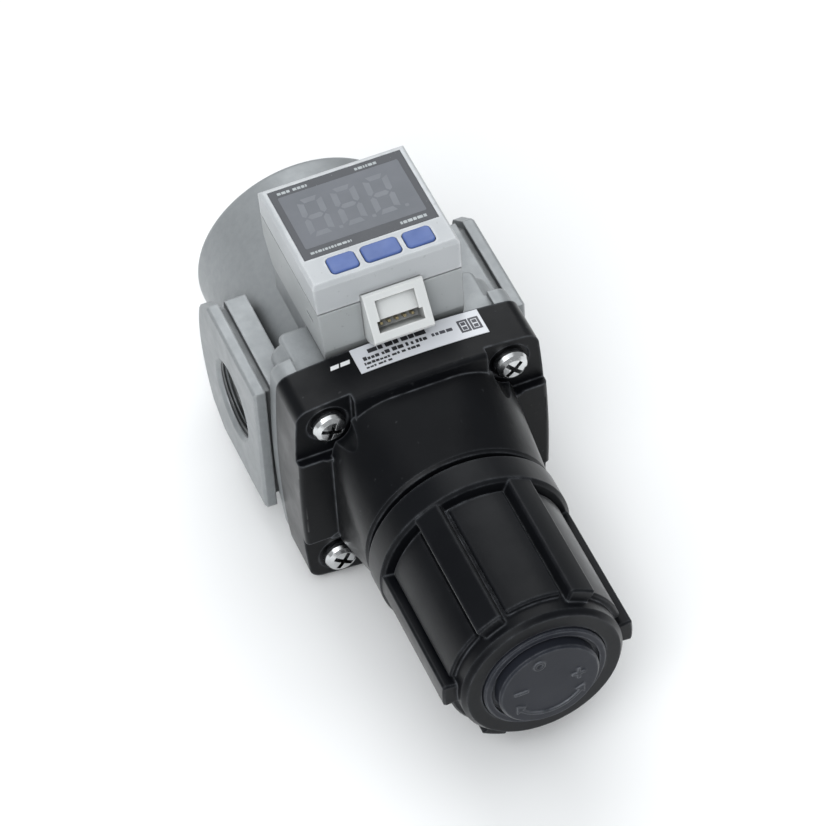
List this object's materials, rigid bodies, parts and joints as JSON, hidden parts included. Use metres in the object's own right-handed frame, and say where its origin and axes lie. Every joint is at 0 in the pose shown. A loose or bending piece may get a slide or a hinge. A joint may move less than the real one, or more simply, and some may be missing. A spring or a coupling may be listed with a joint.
{
  "type": "manifold pressure regulator",
  "caption": "Modular air pressure regulator: cast body with side supply ports and back outlet, black bonnet with push-lock adjusting knob, and digital pressure switch with window and buttons",
  "frame": {"origin": "centre of the outlet port's mouth, in the plane of the flat back face", "axes": "+Z out of the display side, away from the back face; -Y along the adjusting axis out through the knob; X along the supply ports, +X to the right when the display is read with the knob at the bottom"},
  "size_m": [0.053, 0.1163, 0.0649],
  "materials": {
    "cast_body": "cast aluminium, light grey coat, satin",
    "black_resin": "moulded, fine texture, semi-gloss",
    "bright_screws": "bright plated, cross recess",
    "label_film": "printed film, satin",
    "knob_resin": "moulded, fine texture, semi-gloss",
    "cap_resin": "moulded, satin",
    "case_resin": "moulded, satin",
    "cover_resin": "moulded, satin",
    "dark_window": "polished dark window",
    "blue_rubber": "satin rubber",
    "socket_resin": "moulded, satin",
    "contact_metal": "gold flashed",
    "module_resin": "moulded frame",
    "board_laminate": "solder mask, satin",
    "sensor_metal": "machined",
    "seal_rubber": "moulded",
    "diaphragm_rubber": "fabric reinforced",
    "small_screws": "plated",
    "screw_steel": "plated, rolled thread",
    "spring_steel": "dark spring steel",
    "nut_brass": "machined",
    "spring_stainless": "bright spring wire",
    "seat_zinc": "die cast",
    "stem_brass": "machined, fine finish",
    "guide_resin": "moulded, glass filled"
  },
  "bodies": {
    "body": {"body_casting": "cast_body", "bonnet": "black_resin", "bonnet_screws": "bright_screws", "label": "label_film", "valve_guide": "guide_resin", "guide_o_ring": "seal_rubber", "stem_o_ring": "seal_rubber", "switch_case": "case_resin", "switch_cover": "cover_resin", "display_window": "dark_window", "display_module": "module_resin", "circuit_board": "board_laminate", "pressure_sensor": "sensor_metal", "sensor_o_ring": "seal_rubber", "switch_screws": "small_screws", "connector_socket": "socket_resin", "connector_pins": "contact_metal", "regulating_spring": "spring_steel", "diaphragm": "diaphragm_rubber", "valve_spring": "spring_stainless"},
    "adjuster": {"adjusting_screw": "screw_steel", "retaining_ring": "spring_steel", "knob_retaining_screw": "screw_steel"},
    "knob": {"knob": "knob_resin", "knob_cap": "cap_resin"},
    "nut": {"adjusting_nut": "nut_brass"},
    "diaphragm_assembly": {"spring_seat": "seat_zinc", "diaphragm_plate": "seat_zinc", "relief_seat": "nut_brass"},
    "valve": {"valve_stem": "stem_brass", "valve_seal": "seal_rubber"},
    "button_left": {"button_left": "blue_rubber"},
    "button_center": {"button_center": "blue_rubber"},
    "button_right": {"button_right": "blue_rubber"}
  },
  "joints": [
    {"name": "knob_turn", "type": "hinge", "parent": "body", "child": "adjuster", "pos_m": [0, 0, 0.025], "axis": [0, 1, 0], "range_deg": [0, 1440]},
    {"name": "knob_pull", "type": "slide", "parent": "adjuster", "child": "knob", "axis": [0, -1, 0], "range_m": [-0.00085, 0.002]},
    {"name": "nut_travel", "type": "slide", "parent": "body", "child": "nut", "axis": [0, 1, 0], "range_m": [0, 0.00601], "deforming": ["regulating_spring"]},
    {"name": "diaphragm_shift", "type": "slide", "parent": "body", "child": "diaphragm_assembly", "axis": [0, 1, 0], "range_m": [0, 0.0012], "stiffness_N_per_m": 800, "deforming": ["diaphragm", "regulating_spring"]},
    {"name": "valve_lift", "type": "slide", "parent": "body", "child": "valve", "axis": [0, 1, 0], "range_m": [0, 0.00121], "deforming": ["valve_spring"]},
    {"name": "button_left_press", "type": "slide", "parent": "body", "child": "button_left", "axis": [0, 0, -1], "range_m": [0, 0.0003], "stiffness_N_per_m": 2000},
    {"name": "button_center_press", "type": "slide", "parent": "body", "child": "button_center", "axis": [0, 0, -1], "range_m": [0, 0.0003], "stiffness_N_per_m": 2000},
    {"name": "button_right_press", "type": "slide", "parent": "body", "child": "button_right", "axis": [0, 0, -1], "range_m": [0, 0.0003], "stiffness_N_per_m": 2000}
  ],
  "couplings": [
    {"joint": "nut_travel", "follows": "knob_turn", "m_per_rad": 0.00023873},
    {"joint": "valve_lift", "follows": "diaphragm_shift", "ratio": 1}
  ]
}
